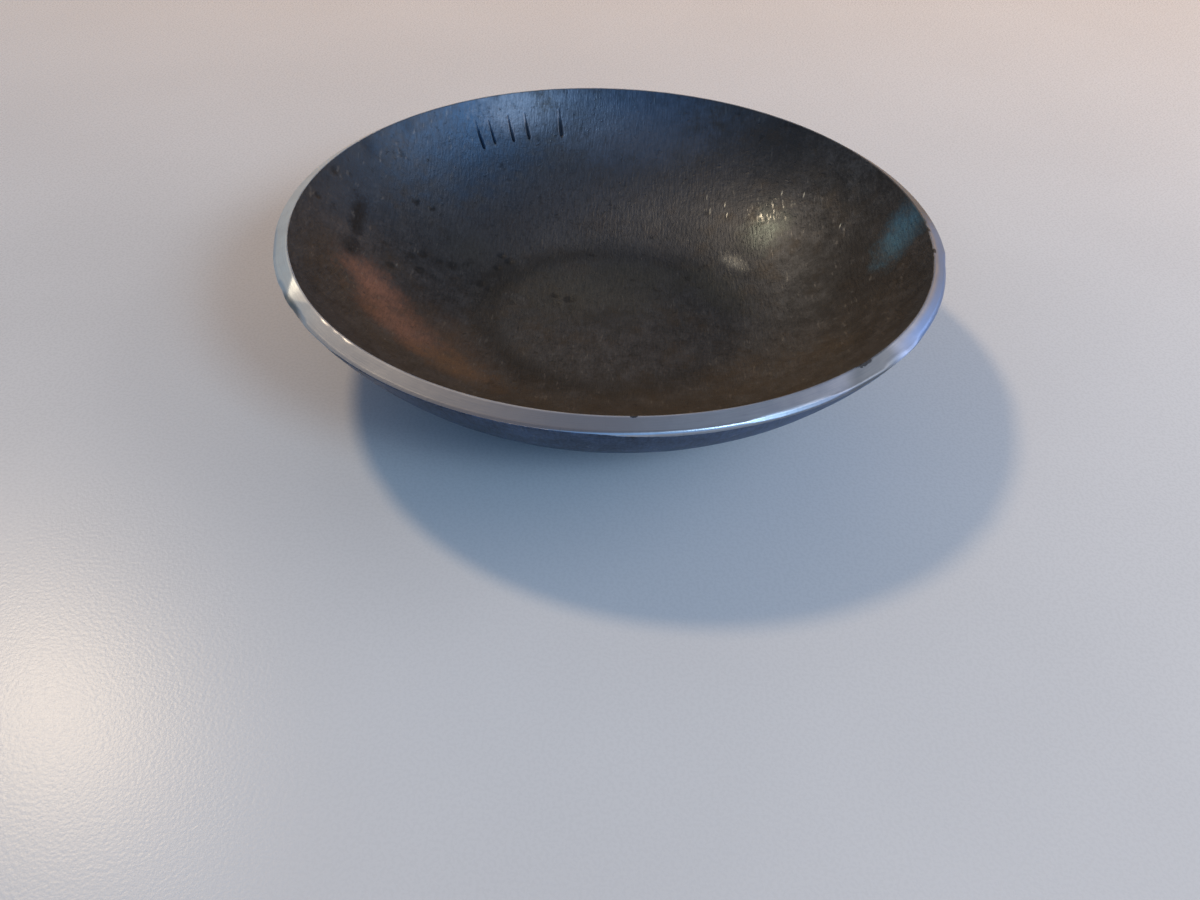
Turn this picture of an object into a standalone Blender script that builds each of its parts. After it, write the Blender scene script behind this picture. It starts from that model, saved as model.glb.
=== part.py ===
"""Forged iron bowl: a shallow dish sunk from one plate, with its edge ground and filed bright.

Metres, +Z up. The origin is the centre of the flat base, on the surface that the bowl stands on.
"""
import math

import bmesh
import bpy
from mathutils import Euler, Matrix, Vector

MM = 0.001

# The dish: a flat base, then one arc up to the rim, all of one plate
RIM_RADIUS = 70.0 * MM
RIM_HEIGHT = 27.0 * MM
BASE_RADIUS = 28.0 * MM
BASE_BREAK = math.radians(5.5)
PLATE = 3.5 * MM

# The ground edge: how far bright metal runs down each side, its round outer lip and its broken arrises
BAND_OUTSIDE = 1.8 * MM
BAND_INSIDE = 0.6 * MM
LIP_RADIUS = 0.7 * MM
ARRIS = 0.15 * MM
SEAM = 0.3 * MM

# File flats on the outer lip: the azimuth of each, how deep it bites and the lean of the file
FILE_FLATS = ((200.0, 0.30 * MM), (210.0, 0.45 * MM), (219.0, 0.55 * MM), (334.0, 0.45 * MM))
FILE_LEAN = math.radians(12.0)

# Chisel strokes on the inside wall: four together and one apart, up and down the wall
STROKE_AZIMUTHS = (123.8, 120.6, 115.8, 111.8, 103.6)
STROKE_LENGTH = 6.8 * MM
STROKE_WIDTH = 1.1 * MM
STROKE_DEPTH = 0.6 * MM
STROKE_DROP = 9.0 * MM
STROKE_CLEARANCE = 3.0 * MM

# Facets
TURNS = 90
WALL_STEPS = 14
LIP_STEPS = 4

# The arc of the outer wall leaves the base at BASE_BREAK and ends at the rim
CHORD = math.hypot(RIM_RADIUS - BASE_RADIUS, RIM_HEIGHT)
CHORD_SLOPE = math.atan2(RIM_HEIGHT, RIM_RADIUS - BASE_RADIUS)
RIM_SLOPE = 2.0 * CHORD_SLOPE - BASE_BREAK
OUTER_ARC = CHORD / (2.0 * math.sin((RIM_SLOPE - BASE_BREAK) / 2.0))
INNER_ARC = OUTER_ARC - PLATE
ARC_CENTRE = Vector((BASE_RADIUS - OUTER_ARC * math.sin(BASE_BREAK), OUTER_ARC * math.cos(BASE_BREAK)))
FLOOR_BREAK = math.acos((ARC_CENTRE.y - PLATE) / INNER_ARC)


def wall_point(arc_radius, slope):
    """The point (radius, height) of a wall arc where the wall has this slope."""
    return ARC_CENTRE + arc_radius * Vector((math.sin(slope), -math.cos(slope)))


def wall_run(arc_radius, start, end):
    """Points along a wall arc from one slope to another, both ends included."""
    span = end - start
    return [wall_point(arc_radius, start + span * step / WALL_STEPS) for step in range(WALL_STEPS + 1)]


def slope_below_rim(arc_radius, drop):
    """The slope of the wall at this distance down the wall from its edge."""
    return RIM_SLOPE - drop / arc_radius


def dish_profile():
    """From the axis across the floor, up the inside, over the seam face and down the outside."""
    inner_end = slope_below_rim(INNER_ARC, BAND_INSIDE + SEAM)
    outer_end = slope_below_rim(OUTER_ARC, BAND_OUTSIDE + SEAM)
    inside = wall_run(INNER_ARC, FLOOR_BREAK, inner_end)
    outside = wall_run(OUTER_ARC, outer_end, BASE_BREAK)
    return [Vector((0.0, PLATE))] + inside + outside + [Vector((0.0, 0.0))]


def rim_profile():
    """The ground face, square to the wall, with its round lip, closed along the seam."""
    along = Vector((math.cos(RIM_SLOPE), math.sin(RIM_SLOPE)))
    outwards = Vector((math.sin(RIM_SLOPE), -math.cos(RIM_SLOPE)))
    edge = wall_point(OUTER_ARC, RIM_SLOPE)
    lip_centre = edge - LIP_RADIUS * (along + outwards)
    lip = []
    for step in range(LIP_STEPS + 1):
        turn = math.pi / 2.0 * step / LIP_STEPS
        lip.append(lip_centre + LIP_RADIUS * (math.cos(turn) * along + math.sin(turn) * outwards))
    seat_outside = wall_point(OUTER_ARC, slope_below_rim(OUTER_ARC, BAND_OUTSIDE))
    seat_inside = wall_point(INNER_ARC, slope_below_rim(INNER_ARC, BAND_INSIDE))
    return [wall_point(INNER_ARC, RIM_SLOPE)] + lip + [seat_outside, seat_inside]


def iron(name, colour, roughness):
    """A plain iron material."""
    material = bpy.data.materials.new(name)
    material.use_nodes = True
    shader = material.node_tree.nodes["Principled BSDF"]
    shader.inputs["Base Color"].default_value = (*colour, 1.0)
    shader.inputs["Metallic"].default_value = 1.0
    shader.inputs["Roughness"].default_value = roughness
    return material


def turned(name, profile, closed, collection, material):
    """A profile in the XZ plane turned about Z."""
    mesh = bpy.data.meshes.new(name)
    count = len(profile)
    edges = [(index, index + 1) for index in range(count - 1)]
    if closed:
        edges.append((count - 1, 0))
    mesh.from_pydata([(point.x, 0.0, point.y) for point in profile], edges, [])
    piece = bpy.data.objects.new(name, mesh)
    collection.objects.link(piece)
    screw = piece.modifiers.new("Turn", "SCREW")
    screw.axis = "Z"
    screw.steps = TURNS
    screw.render_steps = TURNS
    screw.use_merge_vertices = True
    screw.merge_threshold = 0.00001
    screw.use_smooth_shade = True
    mesh.materials.append(material)
    return piece


def break_arrises(piece):
    """Takes the sharpness off the square corners of a piece, as a light pass with a file does."""
    bevel = piece.modifiers.new("Arris", "BEVEL")
    bevel.limit_method = "ANGLE"
    bevel.angle_limit = math.radians(45.0)
    bevel.width = ARRIS
    bevel.segments = 1


def cutter(name, mesh_maker, place, collection):
    """A closed shape that is cut away from a piece and not shown itself."""
    mesh = bpy.data.meshes.new(name)
    build = bmesh.new()
    mesh_maker(build)
    build.transform(place)
    build.to_mesh(mesh)
    build.free()
    shape = bpy.data.objects.new(name, mesh)
    shape.hide_render = True
    shape.display_type = "WIRE"
    collection.objects.link(shape)
    return shape


def cut(piece, shape):
    """Cuts the shape out of the piece."""
    boolean = piece.modifiers.new(shape.name, "BOOLEAN")
    boolean.operation = "DIFFERENCE"
    boolean.solver = "EXACT"
    boolean.object = shape


def chisel(build):
    """A block the size of a stroke, standing on the wall at Z = 0, with a four-sided point below it."""
    bmesh.ops.create_cube(build, size=1.0)
    bmesh.ops.scale(build, verts=build.verts, vec=(STROKE_LENGTH, STROKE_WIDTH, STROKE_CLEARANCE))
    bmesh.ops.translate(build, verts=build.verts, vec=(0.0, 0.0, STROKE_CLEARANCE / 2.0))
    build.normal_update()
    underside = [face for face in build.faces if face.normal.z < -0.5]
    bmesh.ops.poke(build, faces=underside, offset=STROKE_DEPTH)


def file_block(build):
    """A block whose face at X = 0 is the file."""
    side = RIM_RADIUS
    bmesh.ops.create_cube(build, size=side)
    bmesh.ops.translate(build, verts=build.verts, vec=(side / 2.0, 0.0, 0.0))


def stroke_place(azimuth):
    """On the inside wall, X up the wall and Z out of it."""
    slope = slope_below_rim(INNER_ARC, STROKE_DROP)
    spot = wall_point(INNER_ARC, slope)
    stand = Matrix.Translation((spot.x, 0.0, spot.y)) @ Matrix.Rotation(-slope, 4, "Y")
    return Matrix.Rotation(math.radians(azimuth), 4, "Z") @ stand


def file_place(azimuth, bite):
    """Leaning on the outer lip, and sunk into its round by the bite."""
    along = Vector((math.cos(RIM_SLOPE), math.sin(RIM_SLOPE)))
    outwards = Vector((math.sin(RIM_SLOPE), -math.cos(RIM_SLOPE)))
    lip_centre = wall_point(OUTER_ARC, RIM_SLOPE) - LIP_RADIUS * (along + outwards)
    facing = Vector((math.cos(FILE_LEAN), math.sin(FILE_LEAN)))
    spot = lip_centre + (LIP_RADIUS - bite) * facing
    lean = Euler((0.0, -FILE_LEAN, 0.0)).to_matrix().to_4x4()
    return Matrix.Rotation(math.radians(azimuth), 4, "Z") @ Matrix.Translation((spot.x, 0.0, spot.y)) @ lean


def build_bowl():
    """The dish with its chisel strokes, and the rim with its file flats."""
    bowl = bpy.data.collections.new("iron_bowl")
    tools = bpy.data.collections.new("cutters")
    bpy.context.scene.collection.children.link(bowl)
    bpy.context.scene.collection.children.link(tools)

    skin = iron("forge_skin", (0.045, 0.043, 0.040), 0.55)
    dish = turned("forged_dish", dish_profile(), False, bowl, skin)
    for number, azimuth in enumerate(STROKE_AZIMUTHS, start=1):
        cut(dish, cutter(f"stroke_{number}", chisel, stroke_place(azimuth), tools))

    bright = iron("ground_edge", (0.42, 0.42, 0.45), 0.35)
    rim = turned("ground_rim", rim_profile(), True, bowl, bright)
    break_arrises(rim)
    for number, (azimuth, bite) in enumerate(FILE_FLATS, start=1):
        cut(rim, cutter(f"file_flat_{number}", file_block, file_place(azimuth, bite), tools))


for item in list(bpy.data.objects):
    bpy.data.objects.remove(item, do_unlink=True)
build_bowl()
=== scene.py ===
"""Forged iron bowl on a pale table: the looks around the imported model.

Metres, +Z up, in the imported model's frame. The dish and its ground rim stand for the plain solids.
"""

import logging
import math
from dataclasses import dataclass
from enum import Enum
from typing import Any, Callable, Mapping, Optional, Sequence, Union

import bmesh
import bpy
import numpy as np
from mathutils import Matrix, Vector


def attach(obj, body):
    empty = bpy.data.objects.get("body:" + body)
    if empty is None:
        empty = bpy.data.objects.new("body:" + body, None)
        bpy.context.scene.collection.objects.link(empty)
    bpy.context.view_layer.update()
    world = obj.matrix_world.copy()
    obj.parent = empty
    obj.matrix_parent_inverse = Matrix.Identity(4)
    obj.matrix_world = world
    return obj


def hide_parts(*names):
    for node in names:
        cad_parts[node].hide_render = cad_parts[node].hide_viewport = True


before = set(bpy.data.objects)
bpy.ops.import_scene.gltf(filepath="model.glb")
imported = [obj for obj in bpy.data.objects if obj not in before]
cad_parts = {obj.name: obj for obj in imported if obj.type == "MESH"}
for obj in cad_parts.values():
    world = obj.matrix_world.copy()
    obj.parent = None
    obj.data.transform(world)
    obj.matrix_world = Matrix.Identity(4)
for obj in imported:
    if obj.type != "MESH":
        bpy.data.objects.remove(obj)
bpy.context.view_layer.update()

LOG = logging.getLogger("iron_bowl")
MM = 0.001
SOOT_MAP = "soot"
GIVE_MAP = "give"
SQUARE_CORNER = math.radians(55.0)

Tone = tuple[float, float, float]
Spot = tuple[float, float, float]
Pair = tuple[float, float]
Key = Union[str, int]


class Wire:
    """What runs out of a node. Arithmetic on a number adds Math nodes to its board."""

    def __init__(self, board: "Board", socket: bpy.types.NodeSocket) -> None:
        """Holds an output socket of a board."""
        self.board = board
        self.socket = socket

    def out(self, key: Key) -> "Wire":
        """Another output of the same node."""
        return Wire(self.board, self.socket.node.outputs[key])

    def __add__(self, other: "Term") -> "Wire":
        """The sum."""
        return self.board.math("ADD", self, other)

    def __radd__(self, other: "Term") -> "Wire":
        """The sum, with the number first."""
        return self.board.math("ADD", other, self)

    def __sub__(self, other: "Term") -> "Wire":
        """The difference."""
        return self.board.math("SUBTRACT", self, other)

    def __rsub__(self, other: "Term") -> "Wire":
        """The difference, with the number first."""
        return self.board.math("SUBTRACT", other, self)

    def __mul__(self, other: "Term") -> "Wire":
        """The product."""
        return self.board.math("MULTIPLY", self, other)

    def __truediv__(self, other: "Term") -> "Wire":
        """The quotient."""
        return self.board.math("DIVIDE", self, other)

    def __rtruediv__(self, other: "Term") -> "Wire":
        """The quotient, with the number first."""
        return self.board.math("DIVIDE", other, self)

    def ease(self, low: float, high: float) -> "Wire":
        """0 below low and 1 above high, with a soft step between; the other way round if low is higher."""
        if low > high:
            return 1.0 - self.ease(high, low)
        sockets = {"Value": self, "From Min": low, "From Max": high}
        return self.board.add("ShaderNodeMapRange", {"interpolation_type": "SMOOTHSTEP"}, sockets, "Result")

    def part(self, axis: str) -> "Wire":
        """One coordinate of a vector."""
        return self.board.add("ShaderNodeSeparateXYZ", None, {"Vector": self}, axis)

    def step(self, axis: str, low: float, high: float) -> "Wire":
        """A soft step along one axis, between two places in millimetres."""
        return self.part(axis).ease(low * MM, high * MM)

    def level(self) -> "Wire":
        """A vector without its height."""
        return self.board.vector("MULTIPLY", {0: self, 1: (1.0, 1.0, 0.0)})

    def length(self) -> "Wire":
        """How long a vector is."""
        return self.board.vector("LENGTH", {0: self}, "Value")

    def stretched(self, scale: Spot) -> "Wire":
        """Coordinates scaled to draw a pattern out."""
        sockets = {"Vector": self, "Scale": scale}
        return self.board.add("ShaderNodeMapping", {"vector_type": "POINT"}, sockets)

    def oval(self, centre: Pair, reach: Pair, turn: float = 0.0) -> "Wire":
        """Measures coordinates from the middle of an oval, seen from above.

        Args:
            centre: The oval's middle, in millimetres.
            reach: Its half length and half width, in millimetres.
            turn: How far it is turned, in degrees.

        Returns:
            How far each point is from the middle, as a share of the reach.
        """
        sockets = {
            "Vector": self,
            "Location": (centre[0] * MM, centre[1] * MM, 0.0),
            "Rotation": (0.0, 0.0, math.radians(turn)),
            "Scale": (reach[0] * MM, reach[1] * MM, 1.0),
        }
        return self.board.add("ShaderNodeMapping", {"vector_type": "TEXTURE"}, sockets).level().length()

    def noise(self, size: "Term", detail: float = 2.0, grit: float = 0.5, seed: "Term" = 0.0) -> "Wire":
        """Draws cloudy values about a half at these coordinates.

        Args:
            size: How wide the largest clouds are.
            detail: How many finer layers they carry.
            grit: How strong the finer layers are.
            seed: Which of many such fields it is.

        Returns:
            The values' wire.
        """
        sockets = {"Vector": self, "W": seed, "Scale": 1.0 / size, "Detail": detail, "Roughness": grit}
        return self.board.add("ShaderNodeTexNoise", {"noise_dimensions": "4D"}, sockets, "Fac")

    def blend(self, low: Union["Wire", Tone], high: Union["Wire", Tone]) -> "Wire":
        """The low colour where this is 0, and the high one where it is 1."""
        return self.board.add("ShaderNodeMix", {"data_type": "RGBA"}, {0: self, 6: low, 7: high}, 2)

    def fade(self, low: "Term", high: "Term") -> "Wire":
        """The low number where this is 0, and the high one where it is 1."""
        return self.board.add("ShaderNodeMix", {"data_type": "FLOAT"}, {0: self, 2: low, 3: high})


Term = Union[Wire, float]


class Board:
    """A node tree in the making."""

    def __init__(self, tree: bpy.types.NodeTree) -> None:
        """Works on a tree that Blender holds."""
        self.tree = tree

    def add(
        self,
        kind: str,
        settings: Optional[Mapping[str, Any]] = None,
        sockets: Optional[Mapping[Key, Any]] = None,
        out: Key = 0,
    ) -> Wire:
        """Adds a node.

        Args:
            kind: Blender's name for the node.
            settings: The node's own properties, which are set first.
            sockets: A value or a wire for each input, by name or number.
            out: The output that is wanted, by name or number.

        Returns:
            The wire from that output.
        """
        node = self.tree.nodes.new(kind)
        for name, value in (settings or {}).items():
            setattr(node, name, value)
        for key, value in (sockets or {}).items():
            self.feed(node.inputs[key], value)
        return Wire(self, node.outputs[out])

    def feed(self, socket: bpy.types.NodeSocket, value: Any) -> None:
        """Links a wire to an input, or sets the input's value.

        Args:
            socket: The input.
            value: A wire, a number, a vector, or a colour without its alpha.
        """
        if isinstance(value, Wire):
            self.tree.links.new(value.socket, socket)
        elif socket.type == "RGBA":
            socket.default_value = (*value, 1.0)
        else:
            socket.default_value = value

    def math(self, operation: str, first: Term, second: Term) -> Wire:
        """One Math node on two numbers."""
        return self.add("ShaderNodeMath", {"operation": operation}, {0: first, 1: second})

    def vector(self, operation: str, sockets: Mapping[Key, Any], out: Key = 0) -> Wire:
        """One Vector Math node."""
        return self.add("ShaderNodeVectorMath", {"operation": operation}, sockets, out)


@dataclass(frozen=True)
class PlateShape:
    """The sunk plate: a flat base, then one arc up to the rim, the same thickness all over.

    Points of the section are (radius, height).
    """

    rim_radius: float = 70.0 * MM
    rim_height: float = 27.0 * MM
    base_radius: float = 28.0 * MM
    base_break: float = math.radians(5.5)
    plate: float = 3.5 * MM
    band_outside: float = 1.8 * MM
    band_inside: float = 0.6 * MM
    lip_radius: float = 0.7 * MM

    @property
    def rim_slope(self) -> float:
        """The slope of the wall at the rim."""
        return 2.0 * math.atan2(self.rim_height, self.rim_radius - self.base_radius) - self.base_break

    @property
    def outer_arc(self) -> float:
        """The radius of the outer wall's arc."""
        chord = math.hypot(self.rim_radius - self.base_radius, self.rim_height)
        return chord / (2.0 * math.sin((self.rim_slope - self.base_break) / 2.0))

    @property
    def inner_arc(self) -> float:
        """The radius of the inner wall's arc."""
        return self.outer_arc - self.plate

    @property
    def arc_centre(self) -> Vector:
        """The centre that both arcs share."""
        reach = self.outer_arc * math.sin(self.base_break)
        return Vector((self.base_radius - reach, self.outer_arc * math.cos(self.base_break)))

    @property
    def floor_break(self) -> float:
        """The slope at which the inner wall leaves the floor."""
        return math.acos((self.arc_centre.y - self.plate) / self.inner_arc)

    @property
    def along(self) -> Vector:
        """The direction up the wall at the rim."""
        return Vector((math.cos(self.rim_slope), math.sin(self.rim_slope)))

    @property
    def outwards(self) -> Vector:
        """The direction out of the wall at the rim."""
        return Vector((math.sin(self.rim_slope), -math.cos(self.rim_slope)))

    @property
    def lip_centre(self) -> Vector:
        """The centre of the round outer lip."""
        return self.point(self.outer_arc, self.rim_slope) - self.lip_radius * (self.along + self.outwards)

    def point(self, arc: float, slope: float) -> Vector:
        """The point of a wall arc where the wall has this slope."""
        return self.arc_centre + arc * Vector((math.sin(slope), -math.cos(slope)))

    def below_rim(self, arc: float, drop: float) -> float:
        """The slope of a wall at this distance down from its edge."""
        return self.rim_slope - drop / arc

    def wall(self, arc: float, start: float, end: float, rows: int) -> list[Vector]:
        """Points along a wall arc from one slope to another, both included."""
        return [self.point(arc, start + (end - start) * row / rows) for row in range(rows + 1)]

    def bend(self, centre: Vector, radius: float, start: float, rows: int) -> list[Vector]:
        """A quarter round at the rim, from an angle measured off the wall's way up towards its outside."""
        up, out = self.along, self.outwards
        turns = [start + math.pi / 2.0 * row / rows for row in range(rows + 1)]
        return [centre + radius * (math.cos(turn) * up + math.sin(turn) * out) for turn in turns]


def put_in_scene(name: str, data: bpy.types.ID) -> bpy.types.Object:
    """A new object in the scene, which shows this mesh, lamp or camera."""
    thing = bpy.data.objects.new(name, data)
    bpy.context.scene.collection.objects.link(thing)
    return thing


@dataclass(frozen=True)
class Lathe:
    """Turns a section about Z and gives the metal its hammered relief, with Geometry Nodes."""

    dent_size: float = 13.0 * MM
    ripple_size: float = 5.0 * MM
    weld: float = 0.001 * MM
    seed: float = 4.0

    def tree(self) -> bpy.types.GeometryNodeTree:
        """Builds the node tree.

        Returns:
            A tree whose first input is a section: a chain of points, each with its share of the relief.
        """
        tree = bpy.data.node_groups.new("turned_plate", "GeometryNodeTree")
        inputs = {"Section": "Geometry", "Columns": "Int", "Iron": "Material"}
        for name in ("Dent Size", "Dent Depth", "Ripple Size", "Ripple Depth", "Seed"):
            inputs[name] = "Float"
        for name, kind in inputs.items():
            tree.interface.new_socket(name=name, in_out="INPUT", socket_type=f"NodeSocket{kind}")
        tree.interface.new_socket(name="Piece", in_out="OUTPUT", socket_type="NodeSocketGeometry")

        board = Board(tree)
        given = board.add("NodeGroupInput", None, None, "Section")
        columns, seed = given.out("Columns"), given.out("Seed")
        rows = board.add("GeometryNodeAttributeDomainSize", None, {"Geometry": given}, "Point Count")
        sockets = {"Vertices X": columns + 1, "Vertices Y": rows}
        sheet = board.add("GeometryNodeMeshGrid", None, sockets, "Mesh")
        index = board.add("GeometryNodeInputIndex")
        row = board.math("MODULO", index, rows)
        column = board.add("ShaderNodeMath", {"operation": "FLOOR"}, {0: (index + 0.5) / rows})
        place = board.add("GeometryNodeInputPosition")
        share = board.add("GeometryNodeInputNamedAttribute", {"data_type": "FLOAT"}, {"Name": GIVE_MAP})

        picked = {"data_type": "FLOAT_VECTOR", "domain": "POINT"}
        sockets = {"Geometry": given, "Value": place, "Index": row}
        spot = board.add("GeometryNodeSampleIndex", picked, sockets)
        sockets = {"Vector": spot, "Angle": column * math.tau / columns}
        turned = board.add("ShaderNodeVectorRotate", {"rotation_type": "Z_AXIS"}, sockets)
        bent = board.add("GeometryNodeSetPosition", None, {"Geometry": sheet, "Position": turned})
        picked = {"data_type": "FLOAT", "domain": "POINT"}
        sockets = {"Geometry": given, "Value": share, "Index": row}
        give = board.add("GeometryNodeSampleIndex", picked, sockets)
        sockets = {"Geometry": bent, "Name": GIVE_MAP, "Value": give}
        bent = board.add("GeometryNodeStoreNamedAttribute", picked, sockets)
        closed = board.add("GeometryNodeMergeByDistance", None, {"Geometry": bent, "Distance": self.weld})
        closed = board.add("GeometryNodeFlipFaces", None, {"Mesh": closed})

        settings = {"voronoi_dimensions": "4D", "feature": "SMOOTH_F1"}
        sockets = {"Vector": place, "W": seed, "Scale": 1.0 / given.out("Dent Size"), "Smoothness": 0.5}
        dent = board.add("ShaderNodeTexVoronoi", settings, sockets, "Distance")
        dent = (dent * dent - 0.25) * given.out("Dent Depth") * 2.0
        ripple = place.noise(given.out("Ripple Size"), seed=seed)
        ripple = (ripple - 0.5) * given.out("Ripple Depth") * 2.0
        normal = board.add("GeometryNodeInputNormal")
        relief = board.vector("SCALE", {0: normal, "Scale": (dent + ripple) * share})
        hammered = board.add("GeometryNodeSetPosition", None, {"Geometry": closed, "Offset": relief})
        smooth = board.add("GeometryNodeSetShadeSmooth", None, {"Geometry": hammered})
        whole = board.add("GeometryNodeRealizeInstances", None, {"Geometry": smooth})
        sockets = {"Geometry": whole, "Material": given.out("Iron")}
        piece = board.add("GeometryNodeSetMaterial", None, sockets)
        board.feed(tree.nodes.new("NodeGroupOutput").inputs["Piece"], piece)
        return tree

    def turn(
        self,
        name: str,
        section: Sequence[tuple[Vector, float]],
        columns: int,
        depths: Pair,
        material: bpy.types.Material,
    ) -> bpy.types.Object:
        """Turns a section to a plain mesh.

        Args:
            name: The piece's name.
            section: Each point of the section, with its share of the relief.
            columns: How many columns of faces go round.
            depths: How deep the dents and the ripple are.
            material: The piece's finish.

        Returns:
            The piece, with no modifier left on it.
        """
        mesh = bpy.data.meshes.new(f"{name}_section")
        links = [(step, step + 1) for step in range(len(section) - 1)]
        mesh.from_pydata([(point.x, 0.0, point.y) for point, _ in section], links, [])
        give = mesh.attributes.new(GIVE_MAP, "FLOAT", "POINT")
        give.data.foreach_set("value", [share for _, share in section])
        piece = put_in_scene(name, mesh)

        tree = self.tree()
        wanted = {
            "Columns": columns,
            "Dent Size": self.dent_size,
            "Dent Depth": depths[0],
            "Ripple Size": self.ripple_size,
            "Ripple Depth": depths[1],
            "Seed": self.seed,
            "Iron": material,
        }
        modifier = piece.modifiers.new("turned", "NODES")
        modifier.node_group = tree
        for socket in tree.interface.items_tree:
            if socket.in_out == "INPUT" and socket.name in wanted:
                modifier[socket.identifier] = wanted[socket.name]
        view = bpy.context.evaluated_depsgraph_get()
        turned = bpy.data.meshes.new_from_object(piece.evaluated_get(view))
        piece.modifiers.clear()
        piece.data = turned
        turned.name = name
        turned.attributes.remove(turned.attributes[GIVE_MAP])
        bpy.data.meshes.remove(mesh)
        bpy.data.node_groups.remove(tree)
        return piece


@dataclass(frozen=True)
class MetalMap:
    """Where the points of a mesh lie on the sunk plate."""

    shape: PlateShape
    spots: np.ndarray

    @property
    def radius(self) -> np.ndarray:
        """How far each point is from the axis."""
        return np.hypot(self.spots[:, 0], self.spots[:, 1])

    @property
    def azimuth(self) -> np.ndarray:
        """The direction of each point from the axis, in radians."""
        return np.arctan2(self.spots[:, 1], self.spots[:, 0])

    @property
    def slope(self) -> np.ndarray:
        """The slope of the wall at each point."""
        centre = self.shape.arc_centre
        return np.arctan2(np.maximum(self.radius - centre.x, 0.0), centre.y - self.spots[:, 2])

    @property
    def inside(self) -> np.ndarray:
        """Which points are on the inner face of the plate."""
        centre = self.shape.arc_centre
        reach = np.hypot(np.maximum(self.radius - centre.x, 0.0), centre.y - self.spots[:, 2])
        return reach < self.shape.outer_arc - self.shape.plate / 2.0

    def from_line(self, azimuth: float) -> np.ndarray:
        """How far each point is from a line up the wall, round the bowl."""
        turn = (self.azimuth - azimuth + math.pi) % math.tau - math.pi
        return turn * self.radius


def soft_step(values: np.ndarray, low: float, high: float) -> np.ndarray:
    """0 below low and 1 above high, with a soft step between them."""
    share = np.clip((values - low) / (high - low), 0.0, 1.0)
    return share * share * (3.0 - 2.0 * share)


def read_spots(mesh: bpy.types.Mesh) -> np.ndarray:
    """The places of a mesh's points, one row each."""
    spots = np.empty(len(mesh.vertices) * 3)
    mesh.vertices.foreach_get("co", spots)
    return spots.reshape(-1, 3)


def read_normals(mesh: bpy.types.Mesh) -> np.ndarray:
    """The directions out of a mesh at its points, one row each."""
    normals = np.empty(len(mesh.vertices) * 3, dtype=np.float32)
    mesh.vertex_normals.foreach_get("vector", normals)
    return normals.reshape(-1, 3)


def write_spots(mesh: bpy.types.Mesh, spots: np.ndarray) -> None:
    """Moves a mesh's points to these places."""
    mesh.vertices.foreach_set("co", spots.ravel())
    mesh.update()


def keep_corners(mesh: bpy.types.Mesh) -> None:
    """Shades a mesh smooth, but for the corners that are nearly square."""
    mesh.shade_smooth()
    mesh.set_sharp_from_angle(angle=SQUARE_CORNER)


class Bloom(Enum):
    """What a patch of the forge skin has become, or the painted reflection it carries: its colour,
    roughness and share of bare metal.
    """

    # Partly rust and ochre, partly a painted reflection of a warm light.
    RUST_AND_WARM_REFLECTION = ((0.195, 0.105, 0.080), 0.52, 0.70)
    OCHRE_AND_WARM_REFLECTION = ((0.118, 0.074, 0.046), 0.54, 0.75)
    SCORCH = ((0.012, 0.011, 0.011), 0.64, 0.70)
    # Partly blue oxide, partly a painted reflection of blue light.
    BLUE_OXIDE_AND_REFLECTION = ((0.042, 0.078, 0.128), 0.44, 0.92)
    # A painted reflection in teal.
    PAINTED_TEAL_REFLECTION = ((0.056, 0.138, 0.212), 0.46, 0.92)
    # Partly a pale haze, partly a painted reflection of blue light.
    HAZE_AND_BLUE_REFLECTION = ((0.130, 0.142, 0.168), 0.46, 0.94)
    BURNISH = ((0.048, 0.060, 0.062), 0.37, 0.94)
    BRIGHT = ((0.260, 0.270, 0.260), 0.38, 0.94)
    WORN = ((0.086, 0.086, 0.076), 0.46, 0.92)
    BROWN = ((0.034, 0.031, 0.027), 0.58, 0.88)


@dataclass(frozen=True)
class Patch:
    """A patch of the metal, seen from above: an oval with a ragged edge."""

    bloom: Bloom
    centre: Pair
    reach: Pair
    turn: float = 0.0
    strength: float = 1.0
    core: float = 0.25

    def mask(self, place: Wire, ragged: Wire) -> Wire:
        """Draws the patch.

        Args:
            place: Object coordinates.
            ragged: Values about 0 that push the edge in and out.

        Returns:
            The patch's strength at each point.
        """
        away = place.oval(self.centre, self.reach, self.turn)
        return (away + ragged).ease(1.0, self.core) * self.strength


@dataclass
class Finish:
    """What a finish gives to the shader at each point, with its height in millimetres."""

    colour: Wire
    roughness: Term
    metal: Term
    height: Wire

    def under(self, mask: Wire, other: "Finish") -> "Finish":
        """This finish with another over it.

        Args:
            mask: 1 where the other finish shows.
            other: The finish on top.

        Returns:
            The two together.
        """
        return Finish(
            mask.blend(self.colour, other.colour),
            mask.fade(self.roughness, other.roughness),
            mask.fade(self.metal, other.metal),
            mask.fade(self.height, other.height),
        )

    def dress(self) -> None:
        """Runs the finish to the material's shader."""
        board = self.colour.board
        sockets = {"Height": self.height, "Distance": MM, "Strength": 1.0}
        normal = board.add("ShaderNodeBump", None, sockets, "Normal")
        shader = board.tree.nodes["Principled BSDF"]
        for name, value in (
            ("Base Color", self.colour),
            ("Roughness", self.roughness),
            ("Metallic", self.metal),
            ("Normal", normal),
        ):
            board.feed(shader.inputs[name], value)


def new_material(name: str) -> tuple[bpy.types.Material, Board]:
    """A material with a bare shader, and the board of its nodes."""
    material = bpy.data.materials.new(name)
    material.use_nodes = True
    return material, Board(material.node_tree)


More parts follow.
